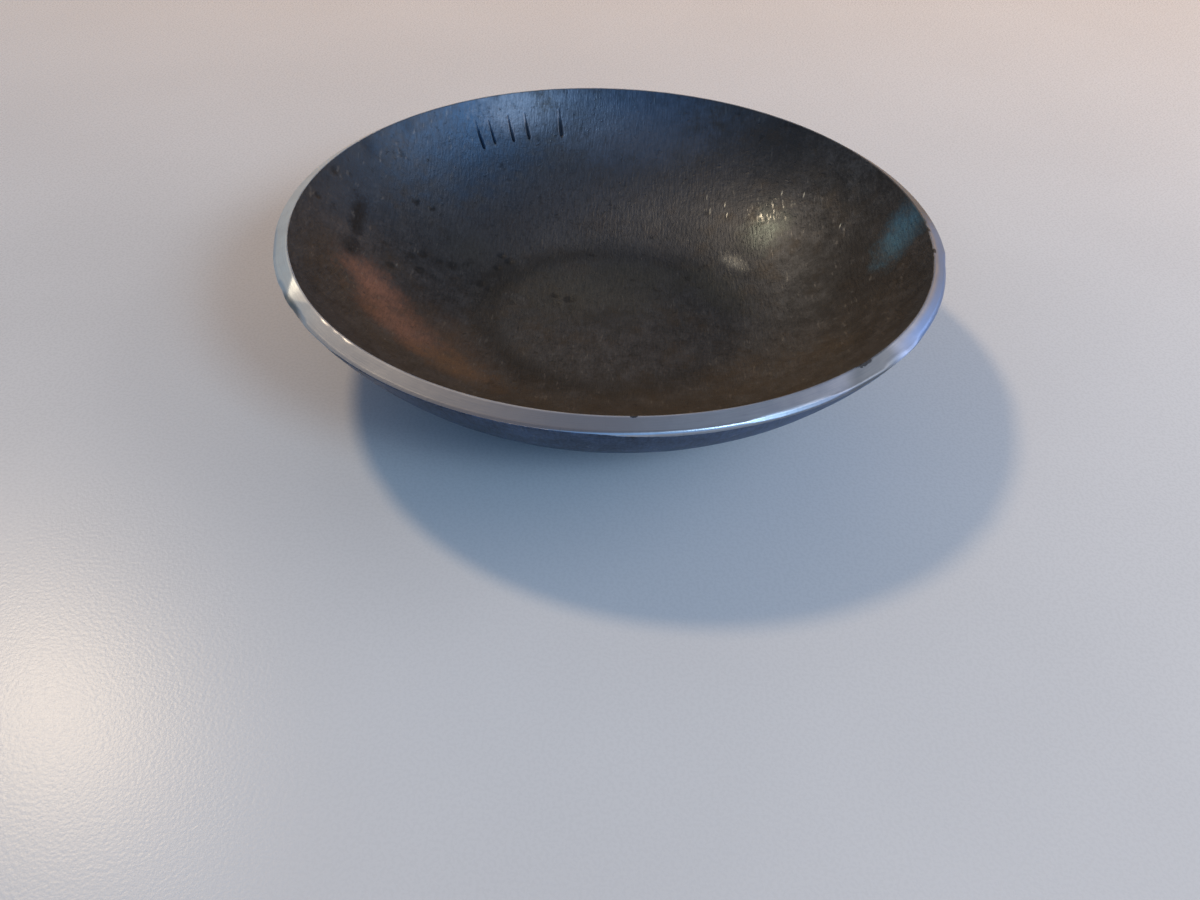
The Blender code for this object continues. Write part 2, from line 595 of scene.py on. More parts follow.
@dataclass(frozen=True)
class ForgeSkin:
    """The dark waxed scale of the forge: mottled, pitted and brushed one way, with coloured patches, some
    of them painted reflections, with painted glints and painted shade in the floor crease.
    """

    shape: PlateShape
    dark: Tone = (0.0185, 0.0198, 0.0220)
    pale: Tone = (0.080, 0.084, 0.093)
    brown: Tone = (0.054, 0.045, 0.036)
    fleck: Tone = (0.150, 0.150, 0.148)
    soot: Tone = (0.013, 0.013, 0.013)
    # Blue of the outer face: partly blue scale, partly a painted reflection of the blue light in front.
    outside: Tone = (0.155, 0.215, 0.345)
    face_blend: float = 0.2 * MM
    crease_shade_middle: Pair = (0.0, -0.8)
    crease_shade_reach: Pair = (26.0, 26.0)
    patches: tuple[Patch, ...] = (
        Patch(Bloom.BROWN, (8.0, -42.0), (64.0, 28.0), 0.0, 0.60, 0.1),
        # Pale blue-grey over the back half: partly haze, partly a painted reflection of blue light.
        Patch(Bloom.HAZE_AND_BLUE_REFLECTION, (-8.0, 40.0), (58.0, 32.0), 8.0, 0.45, 0.0),
        Patch(Bloom.SCORCH, (-60.0, 22.0), (30.0, 12.0), 72.0, 0.52, 0.0),
        Patch(Bloom.SCORCH, (55.0, 3.0), (44.0, 20.0), 86.0, 0.76, 0.0),
        Patch(Bloom.SCORCH, (44.0, 46.0), (24.0, 10.0), -46.0, 0.45, 0.0),
        Patch(Bloom.SCORCH, (-50.6, 42.6), (3.4, 2.2), 50.0, 0.60, 0.0),
        Patch(Bloom.SCORCH, (-57.9, 31.1), (3.4, 2.2), 60.0, 0.75, 0.0),
        # Blue patches on the back and left wall: partly blue oxide, partly a painted reflection of blue
        # light.
        Patch(Bloom.BLUE_OXIDE_AND_REFLECTION, (-37.0, 50.0), (36.0, 17.0), 40.0, 0.80, 0.0),
        Patch(Bloom.BLUE_OXIDE_AND_REFLECTION, (4.0, 62.0), (28.0, 13.0), -5.0, 0.75, 0.0),
        Patch(Bloom.BLUE_OXIDE_AND_REFLECTION, (-58.0, 22.0), (30.0, 12.0), 72.0, 0.26, 0.1),
        # Pale blue-grey near the back edge and the strokes: partly haze, partly a painted reflection of
        # blue light.
        Patch(Bloom.HAZE_AND_BLUE_REFLECTION, (4.0, 60.0), (34.0, 11.0), -6.0, 0.95, 0.0),
        Patch(Bloom.HAZE_AND_BLUE_REFLECTION, (-25.5, 59.0), (14.0, 5.0), 24.5, 1.0, 0.2),
        Patch(Bloom.WORN, (-4.0, 8.0), (25.0, 17.0), 0.0, 0.42, 0.2),
        Patch(Bloom.WORN, (8.0, 18.0), (18.0, 8.0), -12.0, 0.40, 0.0),
        Patch(Bloom.WORN, (25.0, 13.0), (17.0, 8.0), -58.0, 0.62, 0.0),
        Patch(Bloom.WORN, (-34.0, 21.0), (11.0, 8.0), 58.0, 0.34, 0.0),
        Patch(Bloom.SCORCH, (1.0, -1.0), (10.0, 8.0), 20.0, 0.42, 0.0),
        # The copper band on the front-left wall: partly rust, partly a painted reflection of a warm light.
        Patch(Bloom.OCHRE_AND_WARM_REFLECTION, (-36.0, -14.0), (22.0, 12.0), -38.0, 0.30, 0.0),
        Patch(Bloom.RUST_AND_WARM_REFLECTION, (-51.0, -5.0), (11.5, 7.4), -44.0, 1.0, 0.0),
        Patch(Bloom.RUST_AND_WARM_REFLECTION, (-44.0, -16.0), (17.0, 8.4), -38.0, 0.80, 0.0),
        Patch(Bloom.OCHRE_AND_WARM_REFLECTION, (-31.0, -26.0), (15.0, 7.0), -28.0, 0.70, 0.1),
        Patch(Bloom.SCORCH, (-57.7, 12.0), (8.6, 2.2), 93.0, 1.0, 0.2),
        Patch(Bloom.SCORCH, (-57.4, 2.5), (4.5, 2.8), 85.0, 0.90, 0.2),
        Patch(Bloom.SCORCH, (-44.0, 11.0), (9.0, 6.0), 10.0, 0.30, 0.0),
        Patch(Bloom.SCORCH, (-27.0, 15.5), (10.0, 4.6), 60.0, 0.72, 0.0),
        # Painted reflection in teal on the right of the inner wall.
        Patch(Bloom.PAINTED_TEAL_REFLECTION, (63.8, 6.6), (10.5, 6.4), 62.0, 1.0, 0.0),
        Patch(Bloom.BURNISH, (37.8, 30.2), (9.6, 8.4), 60.0, 0.90, 0.1),
        # A brighter patch beside the lamp's highlight, partly a painted highlight.
        Patch(Bloom.BRIGHT, (30.2, 22.0), (5.8, 3.2), -50.0, 0.50, 0.0),
    )
    # Painted glints: bright flecks where the lamp's light sparkles, over the highlight and the bright patch
    # beside it.
    painted_glints: tuple[Patch, ...] = (
        Patch(Bloom.BRIGHT, (38.8, 35.3), (7.5, 4.0), -28.0, 1.0, 0.2),
        Patch(Bloom.BRIGHT, (30.2, 22.0), (5.0, 2.8), -50.0, 1.0, 0.2),
    )
    # Small bright dashes: painted glints round the lamp's highlight, and the last two light specks on the
    # left wall.
    painted_glints_and_specks: tuple[Patch, ...] = (
        Patch(Bloom.BRIGHT, (24.7, 39.8), (1.3, 0.26), 84.0, 1.0, 0.3),
        Patch(Bloom.BRIGHT, (23.9, 43.8), (0.9, 0.20), 84.0, 0.8, 0.3),
        Patch(Bloom.BRIGHT, (28.3, 40.5), (0.9, 0.22), 80.0, 0.9, 0.3),
        Patch(Bloom.BRIGHT, (28.8, 37.6), (1.0, 0.24), 80.0, 1.0, 0.3),
        Patch(Bloom.BRIGHT, (41.7, 38.1), (0.7, 0.26), 74.0, 0.9, 0.3),
        Patch(Bloom.BRIGHT, (46.5, 34.7), (0.8, 0.24), 74.0, 0.9, 0.3),
        Patch(Bloom.BRIGHT, (53.5, 21.1), (0.9, 0.24), 70.0, 0.8, 0.3),
        Patch(Bloom.BRIGHT, (-48.5, 6.0), (1.1, 0.35), 84.0, 0.35, 0.2),
        Patch(Bloom.BRIGHT, (-45.0, 13.8), (0.9, 0.30), 84.0, 0.35, 0.2),
    )

    def inside(self, place: Wire) -> Wire:
        """Draws the plate's inner face.

        Args:
            place: Object coordinates.

        Returns:
            A mask that is 1 on that face.
        """
        board = place.board
        centre = self.shape.arc_centre
        out = board.math("MAXIMUM", place.level().length() - centre.x, 0.0)
        down = centre.y - place.part("Z")
        reach = board.math("SQRT", out * out + down * down, 0.0)
        middle = self.shape.outer_arc - self.shape.plate / 2.0
        return reach.ease(middle + self.face_blend, middle - self.face_blend)

    def ring(self, place: Wire, ragged: Wire) -> Wire:
        """Draws painted shade in the crease round the floor, darker on the left and towards the front.

        Args:
            place: Object coordinates.
            ragged: Values about 0 that push the edges in and out.

        Returns:
            How strong the painted shade is.
        """
        away = place.oval(self.crease_shade_middle, self.crease_shade_reach) + ragged * 0.10
        # Painted shade, heavier on the left and towards the front.
        soot = 0.10 + place.step("X", 12.0, -16.0) * 0.34 + place.step("Y", 0.0, -20.0) * 0.14
        return away.ease(0.86, 1.04) * away.ease(1.30, 1.05) * soot

    def paint(self, board: Board) -> Finish:
        """Draws the skin.

        Args:
            board: The material's board.

        Returns:
            The skin's finish.
        """
        place = board.add("ShaderNodeTexCoord", None, None, "Object")
        cloud = place.noise(15.0 * MM, 4.0, 0.60)
        blotch = place.noise(3.6 * MM, 4.0, 0.65)
        grain = place.noise(0.75 * MM, 3.0, 0.65)
        brushed = place.stretched((1.0, 0.20, 0.20))
        streak = brushed.noise(0.50 * MM, 2.0, 0.60)
        spots = place.noise(3.4 * MM, 3.0, 0.60, 3.0).ease(0.60, 0.74)
        pocks = place.noise(1.2 * MM, 2.0, 0.55, 7.0).ease(0.62, 0.74)
        ridges = brushed.noise(0.60 * MM, 1.0, 0.50, 5.0).ease(0.60, 0.74) * blotch.ease(0.46, 0.62)

        grit = grain.ease(0.30, 0.70) * 0.55 + streak.ease(0.30, 0.70) * 0.45
        shade = cloud.ease(0.28, 0.72) * 0.22 + blotch.ease(0.30, 0.70) * 0.28 + grit * 0.50
        colour = shade.blend(self.dark, self.pale)
        warm = place.noise(8.0 * MM, 4.0, 0.65, 2.0).ease(0.48, 0.70) * 0.6
        colour = warm.blend(colour, self.brown)
        roughness = 0.43 + grain * 0.10 + blotch * 0.08
        metal = 0.94 - shade * 0.10

        ragged = (blotch - 0.5) * 1.3 + (grain - 0.5) * 0.9
        inside = self.inside(place)
        for patch in self.patches:
            tone, rough, bare = patch.bloom.value
            mask = patch.mask(place, ragged) * inside * (0.40 + grit * 0.70 + shade * 0.40)
            colour = mask.blend(colour, tone)
            roughness = mask.fade(roughness, rough)
            metal = mask.fade(metal, bare)
        # Painted glints, in bright metal.
        fine = brushed.noise(0.42 * MM, 1.0, 0.50, 11.0).ease(0.58, 0.66)
        painted_glint: Term = 0.0
        for patch in self.painted_glints:
            painted_glint = board.math("MAXIMUM", painted_glint, fine * patch.mask(place, ragged))
        for bright_dash in self.painted_glints_and_specks:
            painted_glint = board.math("MAXIMUM", painted_glint, bright_dash.mask(place, ragged * 0.5))
        painted_glint = painted_glint * inside
        colour = painted_glint.blend(colour, Bloom.BRIGHT.value[0])

        # The outer face turns to that blue and grows lighter towards +X, a painted reflection there.
        painted_sky_reflection = place.step("X", 0.0, 40.0) * 0.25
        colour = (1.0 - inside).blend(colour, (shade * 0.7 + painted_sky_reflection).blend(self.soot, self.outside))
        sooty = board.add("ShaderNodeAttribute", {"attribute_name": SOOT_MAP}, None, "Fac")
        in_pits = (sooty + ragged * 1.1).ease(0.35, 0.95) * sooty.ease(0.0, 0.3)
        # Painted shade in the crease round the floor.
        painted_crease_shade = self.ring(place, ragged) * inside
        for mask in (painted_crease_shade, spots * 0.45, pocks * 0.35, in_pits * 0.55):
            colour = mask.blend(colour, self.soot)
        colour = (ridges * 0.35).blend(colour, self.fleck)
        roughness = roughness - ridges * 0.10 - painted_glint * 0.10
        height = grain * 0.060 + streak * 0.085 + blotch * 0.100
        height = height - spots * 0.030 - pocks * 0.030 + ridges * 0.014
        return Finish(colour, roughness, metal, height)

    def material(self) -> bpy.types.Material:
        """Builds the skin's material."""
        material, board = new_material("forge_skin")
        self.paint(board).dress()
        return material


@dataclass(frozen=True)
class Stretch:
    """A stretch of the rim seen from above: a soft step along X and one along Y, in millimetres."""

    x: Pair
    y: Pair

    def mask(self, place: Wire) -> Wire:
        """1 where both steps are past."""
        return place.step("X", *self.x) * place.step("Y", *self.y)


@dataclass(frozen=True)
class GroundSteel:
    """The bright edge: satin metal with grinding lines round it, and skin left where the wheel missed.
    Painted shade darkens its right, a painted cool reflection tints its left, and its right outer side is
    tinted blue, partly by heat and partly as a painted reflection.

    The lines and the ticks have their length round the rim and their width across it. Steps along X and
    the sizes of marks are in millimetres.
    """

    shape: PlateShape
    skin: ForgeSkin
    grind_line: Pair = (7.0, 0.16)
    file_tick: Pair = (0.45, 2.5)
    wide: Stretch = Stretch((-4.0, -16.0), (-16.0, -30.0))
    bare: Stretch = Stretch((-54.0, -46.0), (-16.0, -30.0))
    bare_end: Pair = (16.0, -8.0)
    nicked: Stretch = Stretch((34.0, 44.0), (14.0, 0.0))
    front_left_darkening: Stretch = Stretch((-14.0, -30.0), (-38.0, -50.0))
    back: Stretch = Stretch((36.0, 58.0), (-3.0, 7.0))
    right: Stretch = Stretch((50.0, 60.0), (11.0, -1.0))
    # Painted shade: steps along X that darken the right of the face and of the lip.
    painted_shade_face: Pair = (5.0, 50.0)
    painted_shade_lip: Pair = (24.0, 40.0)
    painted_cool_reflection_side: Pair = (-50.0, -66.0)
    tone: Tone = (0.47, 0.47, 0.49)
    # Dark tone for grinding marks and for painted shade.
    smudge_and_painted_shade: Tone = (0.22, 0.235, 0.275)
    blue_tint_and_reflection: Tone = (0.14, 0.235, 0.46)
    painted_cool_reflection: Tone = (0.44, 0.52, 0.59)
    dull: tuple[Patch, ...] = (
        Patch(Bloom.BURNISH, (48.4, -49.8), (10.0, 5.0), 45.0, 0.60, 0.5),
        Patch(Bloom.BURNISH, (-59.7, -37.0), (7.8, 1.7), 121.8, 0.70, 0.5),
    )
    missed: tuple[Patch, ...] = (
        Patch(Bloom.SCORCH, (67.0, 3.9), (1.5, 0.7), 93.0),
        Patch(Bloom.SCORCH, (67.2, -0.3), (1.0, 0.5), 90.0),
        Patch(Bloom.SCORCH, (66.6, -8.9), (1.2, 0.5), 82.0),
        Patch(Bloom.SCORCH, (45.6, -48.9), (2.6, 0.9), 43.0),
        Patch(Bloom.SCORCH, (5.0, -66.8), (0.7, 0.35), 4.0),
    )

    def section(self, place: Wire) -> tuple[Wire, Wire, Wire]:
        """Where a point lies in the rim's section.

        Args:
            place: Object coordinates.

        Returns:
            The direction round the rim, and how far below the ground face and out of the wall the point
            is, in millimetres.
        """
        flat = place.level()
        facing = place.board.vector("NORMALIZE", {0: flat})
        out = (flat.length() - self.shape.rim_radius) / MM
        up = (place.part("Z") - self.shape.rim_height) / MM
        along, outwards = self.shape.along, self.shape.outwards
        return facing, out * -along.x - up * along.y, out * outwards.x + up * outwards.y

    def marks(self, facing: Wire, across: Wire, size: Pair) -> Wire:
        """Lays out coordinates for marks of one size.

        Args:
            facing: The direction round the rim.
            across: How far out of the wall each point is, in millimetres.
            size: How long the marks are round the rim, and how wide across it.

        Returns:
            Coordinates in which a mark is about 1 long and wide.
        """
        board = facing.board
        way = board.vector("SCALE", {0: facing, "Scale": self.shape.rim_radius / MM / size[0]})
        sockets = {"X": way.part("X"), "Y": way.part("Y"), "Z": across / size[1]}
        return board.add("ShaderNodeCombineXYZ", None, sockets)

    def bright(self, place: Wire, below: Wire, across: Wire) -> Wire:
        """Draws where the wheel reached the metal.

        Args:
            place: Object coordinates.
            below: How far each point is below the ground face, in millimetres.
            across: How far out of the wall it is, in millimetres.

        Returns:
            A mask that is 1 on bright metal.
        """
        bare_lip = self.bare.mask(place) * place.step("X", *self.bare_end)
        limit = across.ease(-3.2, -0.9) * (0.85 - bare_lip * 0.85) + 0.17
        limit = limit + self.wide.mask(place) * across.ease(-1.6, -2.8) * 0.40
        limit = limit - bare_lip * across.ease(-0.22, -0.08) * 0.40
        wander = (place.noise(3.2 * MM) - 0.5) * 0.7 + (place.noise(0.9 * MM) - 0.5) * 0.35
        limit = limit + wander * across.ease(-3.4, -2.4) * (1.0 - bare_lip * 0.7)
        nick = (place.noise(1.4 * MM, 3.0, 0.65) - 0.5) * (0.25 + self.nicked.mask(place) * 0.55)
        limit = limit + nick * across.ease(-2.6, -3.4)
        ragged = (place.noise(0.8 * MM, 3.0, 0.65, 9.0) - 0.5) * 1.6
        for patch in self.missed:
            limit = limit - patch.mask(place, ragged) * 1.4
        return (limit - below).ease(-0.08, 0.08)

    def material(self) -> bpy.types.Material:
        """Builds the edge's material.

        Returns:
            Bright steel over the forge skin.
        """
        material, board = new_material("ground_edge")
        place = board.add("ShaderNodeTexCoord", None, None, "Object")
        facing, below, across = self.section(place)
        grind = self.marks(facing, across, self.grind_line).noise(1.0, 3.0, 0.6)
        ticks = self.marks(facing, across, self.file_tick).noise(1.0)
        cloud = place.noise(6.0 * MM, 3.0, 0.6)
        lip = across.ease(-1.0, -0.6)
        edge = across.ease(-3.1, -3.4)

        marks_and_painted_shade = cloud.ease(0.35, 0.75) * 0.26 + grind.ease(0.40, 0.75) * 0.22
        marks_and_painted_shade = marks_and_painted_shade + ticks.ease(0.5, 0.8) * lip * 0.25
        # Painted shade: the face darker towards the right, and the lip darker from 24 mm out on X.
        marks_and_painted_shade = marks_and_painted_shade + place.step("X", *self.painted_shade_face) * (1.0 - lip * 0.7) * 0.80
        marks_and_painted_shade = marks_and_painted_shade + place.step("X", *self.painted_shade_lip) * lip * 0.60
        # Darker at the front left.
        marks_and_painted_shade = marks_and_painted_shade + self.front_left_darkening.mask(place) * 0.30
        # The left end of the rim takes a cool tone, a painted reflection.
        colour = place.step("X", *self.painted_cool_reflection_side).blend(self.tone, self.painted_cool_reflection)
        colour = (marks_and_painted_shade + edge * 0.40).blend(colour, self.smudge_and_painted_shade)
        colour = (self.back.mask(place) * 0.85).blend(colour, self.skin.pale)
        for patch in self.dull:
            mask = patch.mask(place, (cloud - 0.5) * 0.3)
            colour = mask.blend(colour, patch.bloom.value[0])
        # The right of the outer side turns blue: partly heat tint, partly a painted reflection of blue
        # light.
        blue_tint_and_reflection = across.ease(-3.3, -1.8) * self.right.mask(place) * 0.9
        colour = blue_tint_and_reflection.blend(colour, self.blue_tint_and_reflection)
        roughness = 0.30 + grind * 0.10 + cloud * 0.10 - lip * 0.06 + edge * 0.30
        height = grind * 0.012 + ticks * lip * 0.020 + cloud * 0.02
        steel = Finish(colour, roughness, 1.0, height)

        skin = self.skin.paint(board)
        mask = self.bright(place, below, across)
        skin.under(mask, steel).dress()
        return material


@dataclass(frozen=True)
class TableTop:
    """The pale laminate that the bowl stands on."""

    tone: Tone = (0.60, 0.585, 0.575)
    sheen: float = 0.20
    side: float = 4.0
    gap: float = 0.05 * MM

    def material(self) -> bpy.types.Material:
        """Builds the laminate's material.

        Returns:
            Pale laminate with a fine orange peel.
        """
        material, board = new_material("pale_laminate")
        place = board.add("ShaderNodeTexCoord", None, None, "Object")
        peel = place.noise(0.60 * MM)
        cloud = place.noise(60.0 * MM)
        low = tuple(0.97 * share for share in self.tone)
        high = tuple(1.03 * share for share in self.tone)
        colour = (cloud.ease(0.3, 0.7) * 0.6 + peel * 0.4).blend(low, high)
        board.tree.nodes["Principled BSDF"].inputs["Specular IOR Level"].default_value = self.sheen
        Finish(colour, 0.245 + peel * 0.06, 0.0, peel * 0.028).dress()
        return material

    def build(self) -> bpy.types.Object:
        """Lays the table under the bowl.

        Returns:
            The table's top.
        """
        mesh = bpy.data.meshes.new("table_top")
        build = bmesh.new()
        bmesh.ops.create_grid(build, x_segments=8, y_segments=8, size=self.side / 2.0)
        bmesh.ops.translate(build, verts=build.verts, vec=(0.0, 0.0, -self.gap))
        build.to_mesh(mesh)
        build.free()
        mesh.materials.append(self.material())
        table = put_in_scene("table_top", mesh)
        return table


@dataclass(frozen=True)
class Stroke:
    """A chisel stroke up the inside wall."""

    azimuth: float
    length: float
    width: float
    depth: float

    def places(self, metal: MetalMap, drop: float) -> tuple[np.ndarray, np.ndarray]:
        """Where points lie on the stroke.

        Args:
            metal: The points on the plate.
            drop: How far the stroke's middle is below the edge, along the wall.

        Returns:
            How far up the stroke each point is, from -1 at its foot to 1 at its head, and how far across.
        """
        shape = metal.shape
        middle = shape.below_rim(shape.inner_arc, drop)
        up = (metal.slope - middle) * shape.inner_arc / (self.length / 2.0)
        return up, metal.from_line(math.radians(self.azimuth))

    def relief(self, metal: MetalMap, drop: float) -> np.ndarray:
        """Shapes the stroke: a groove between two raised burrs.

        Args:
            metal: The points on the plate.
            drop: How far the stroke's middle is below the edge, along the wall.

        Returns:
            How far the stroke lifts the metal at each point.
        """
        up, across = self.places(metal, drop)
        bite = soft_step(up, -1.0, -0.80) * (1.0 - 0.72 * soft_step(up, -0.45, 0.75))
        bite = bite * (1.0 - soft_step(up, 0.80, 1.0))
        half = self.width / 2.0 * (0.40 + 0.60 * bite)
        groove = -self.depth * bite * np.maximum(0.0, 1.0 - np.abs(across) / half)
        burr = np.exp(-(((np.abs(across) - 1.25 * half) / (0.40 * half)) ** 2))
        burr = burr * bite * np.where(across < 0.0, 0.16, 0.10) * self.depth
        return np.where(metal.inside, groove + burr, 0.0)


@dataclass(frozen=True)
class Pit:
    """A pit in the inside of the bowl, placed as seen from above."""

    x: float
    y: float
    reach: float
    depth: float

    def away(self, metal: MetalMap) -> np.ndarray:
        """Measures from the pit's middle.

        Args:
            metal: The points on the plate.

        Returns:
            How far each point is from the middle along the metal, as a share of the pit's reach.
        """
        sides = metal.spots[:, :2] / MM - np.array((self.x, self.y))
        tilt = 1.0 / np.cos(metal.slope)
        radial = np.stack((np.cos(metal.azimuth), np.sin(metal.azimuth)), axis=1)
        out = np.sum(sides * radial, axis=1) * tilt
        over = sides[:, 1] * radial[:, 0] - sides[:, 0] * radial[:, 1]
        return np.hypot(out, over) / self.reach

    def relief(self, metal: MetalMap) -> np.ndarray:
        """How far the pit lowers the metal at each point."""
        sunk = 1.0 - soft_step(self.away(metal), 0.0, 1.0)
        return np.where(metal.inside, -self.depth * MM * sunk, 0.0)

    def soot(self, metal: MetalMap) -> np.ndarray:
        """How much soot has settled in and round the pit."""
        return np.where(metal.inside, 1.0 - soft_step(self.away(metal), 0.2, 1.9), 0.0)


@dataclass(frozen=True)
class ForgedDish:
    """The dish: floor, wall and flat base in the forge skin, with chisel strokes and pits inside."""

    shape: PlateShape
    lathe: Lathe
    skin: ForgeSkin
    columns: int = 400
    floor_rows: int = 20
    inner_rows: int = 106
    seam_rows: int = 3
    outer_rows: int = 34
    base_rows: int = 6
    dent_depth: float = 0.07 * MM
    ripple_depth: float = 0.05 * MM
    relief_margin: float = 4.0 * MM
    base_margin: float = 0.3 * MM
    floor_tilt: float = math.radians(-0.10)
    floor_lift: float = 0.04 * MM
    floor_reach: float = 38.0 * MM
    floor_blend: float = 0.70 * MM
    crease: float = 0.04 * MM
    crease_width: float = 0.12 * MM
    stroke_drop: float = 8.6 * MM
    stroke_ends: float = 1.15
    stroke_sides: float = 1.5 * MM
    stroke_cuts: int = 5
    pit_round: float = 1.6
    pit_cuts: int = 2
    strokes: tuple[Stroke, ...] = (
        Stroke(123.8, 8.4 * MM, 0.85 * MM, 0.55 * MM),
        Stroke(120.6, 7.0 * MM, 0.70 * MM, 0.40 * MM),
        Stroke(115.8, 7.6 * MM, 0.80 * MM, 0.50 * MM),
        Stroke(111.8, 7.6 * MM, 0.85 * MM, 0.55 * MM),
        Stroke(103.6, 7.8 * MM, 1.05 * MM, 0.65 * MM),
    )
    pits: tuple[Pit, ...] = (
        Pit(-63.2, 18.6, 1.2, 0.12),
        Pit(-64.7, 8.2, 1.0, 0.18),
        Pit(-47.4, 28.2, 1.3, 0.11),
        Pit(-43.7, 28.9, 1.0, 0.16),
        Pit(-46.0, 11.5, 1.1, 0.11),
        Pit(-44.1, 13.7, 1.4, 0.14),
        Pit(-40.2, 13.4, 1.2, 0.11),
        Pit(-37.2, 13.6, 1.6, 0.12),
        Pit(-43.7, 8.0, 1.3, 0.10),
        Pit(-49.8, 4.8, 1.2, 0.11),
        Pit(-30.0, 9.6, 1.5, 0.12),
        Pit(-27.9, 7.8, 1.2, 0.10),
        Pit(-26.3, 21.7, 1.4, 0.18),
        Pit(-24.2, 20.0, 1.6, 0.20),
        Pit(-26.8, 16.9, 1.2, 0.16),
        Pit(-8.9, 5.3, 1.6, 0.14),
        Pit(-12.4, 6.7, 1.2, 0.12),
    )

    def section(self) -> list[tuple[Vector, float]]:
        """Draws the section, from the floor's middle up the inside and down the outside to the base.

        Returns:
            Each point, with its share of the relief.
        """
        shape = self.shape
        ring = shape.point(shape.inner_arc, shape.floor_break)
        seat_in = shape.below_rim(shape.inner_arc, shape.band_inside)
        seat_out = shape.below_rim(shape.outer_arc, shape.band_outside)
        floor = [Vector((ring.x * row / self.floor_rows, shape.plate)) for row in range(self.floor_rows)]
        inside = shape.wall(shape.inner_arc, shape.floor_break, seat_in, self.inner_rows)
        outside = shape.wall(shape.outer_arc, seat_out, shape.base_break, self.outer_rows)
        seam = [inside[-1].lerp(outside[0], row / self.seam_rows) for row in range(1, self.seam_rows)]
        steps = range(1, self.base_rows + 1)
        base = [Vector((shape.base_radius * (1.0 - row / self.base_rows), 0.0)) for row in steps]

        top = inside[-1].y
        section = [(point, 0.5) for point in floor]
        section += [(point, self.give(top - point.y)) for point in inside]
        section += [(point, 0.0) for point in seam]
        for point in outside:
            section.append((point, self.give(min(top - point.y, (point.y - self.base_margin) * 2.0))))
        section += [(point, 0.0) for point in base]
        return section

    def give(self, clear: float) -> float:
        """The share of the relief of a point that is so far clear of the dish's edges."""
        return float(soft_step(np.array(clear), 0.0, self.relief_margin))

    def near_strokes(self, metal: MetalMap) -> np.ndarray:
        """Which points are on a stroke or close beside it."""
        near = np.zeros(len(metal.spots), dtype=bool)
        for stroke in self.strokes:
            up, across = stroke.places(metal, self.stroke_drop)
            near |= (np.abs(up) < self.stroke_ends) & (np.abs(across) < self.stroke_sides)
        return near & metal.inside

    def near_pits(self, metal: MetalMap) -> np.ndarray:
        """Which points are in a pit or close round it."""
        return metal.inside & np.any([pit.away(metal) < self.pit_round for pit in self.pits], axis=0)

    def divide(self, build: bmesh.types.BMesh, choose: Callable[[MetalMap], np.ndarray], cuts: int) -> None:
        """Divides the edges of chosen faces.

        Args:
            build: The dish's faces.
            choose: Tells which of the faces' middles are chosen.
            cuts: How many times each edge is cut.
        """
        build.faces.ensure_lookup_table()
        build.edges.index_update()
        middles = np.array([face.calc_center_median() for face in build.faces])
        chosen = choose(MetalMap(self.shape, middles))
        edges = {edge for face, picked in zip(build.faces, chosen) if picked for edge in face.edges}
        ordered = sorted(edges, key=lambda edge: edge.index)
        bmesh.ops.subdivide_edges(build, edges=ordered, cuts=cuts, use_grid_fill=True)

    def refine(self, mesh: bpy.types.Mesh) -> None:
        """Divides the faces round each stroke and pit, so that their shapes come out sharp.

        Args:
            mesh: The dish's mesh.
        """
        build = bmesh.new()
        build.from_mesh(mesh)
        self.divide(build, self.near_strokes, self.stroke_cuts)
        self.divide(build, self.near_pits, self.pit_cuts)
        build.to_mesh(mesh)
        build.free()

    def settle_floor(self, spots: np.ndarray) -> np.ndarray:
        """Tilts the floor a little and creases the ring round it.

        Args:
            spots: The places of the dish's points.

        Returns:
            The places with the floor settled.
        """
        metal = MetalMap(self.shape, spots)
        centre = self.shape.arc_centre
        near = metal.inside & (metal.radius < self.floor_reach)
        out = np.maximum(metal.radius - centre.x, 0.0)
        wall = centre.y - np.sqrt(np.maximum(self.shape.inner_arc**2 - out * out, 0.0))
        plane = self.shape.plate + math.tan(self.floor_tilt) * spots[:, 0] + self.floor_lift
        rest = spots[:, 2] - np.maximum(wall, self.shape.plate)
        gap = np.clip(0.5 + 0.5 * (plane - wall) / self.floor_blend, 0.0, 1.0)
        joined = wall * (1.0 - gap) + plane * gap + self.floor_blend * gap * (1.0 - gap)
        ring = np.exp(-(((plane - wall) / self.crease_width) ** 2))
        settled = spots.copy()
        settled[:, 2] = np.where(near, joined + rest - self.crease * ring, spots[:, 2])
        return settled

    def build(self) -> bpy.types.Object:
        """Makes the dish and puts it in the solid's place.

        Returns:
            The finished piece.
        """
        depths = (self.dent_depth, self.ripple_depth)
        dish = self.lathe.turn("dish", self.section(), self.columns, depths, self.skin.material())
        mesh = dish.data
        self.refine(mesh)
        spots = self.settle_floor(read_spots(mesh))
        write_spots(mesh, spots)
        metal = MetalMap(self.shape, spots)
        lift = sum(stroke.relief(metal, self.stroke_drop) for stroke in self.strokes)
        lift = lift + sum(pit.relief(metal) for pit in self.pits)
        write_spots(mesh, spots + read_normals(mesh) * lift[:, None])
        soot = mesh.attributes.new(SOOT_MAP, "FLOAT", "POINT")
        soot.data.foreach_set("value", np.max([pit.soot(metal) for pit in self.pits], axis=0))
        keep_corners(mesh)
        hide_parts("forged_dish")
        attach(dish, "root")
        return dish


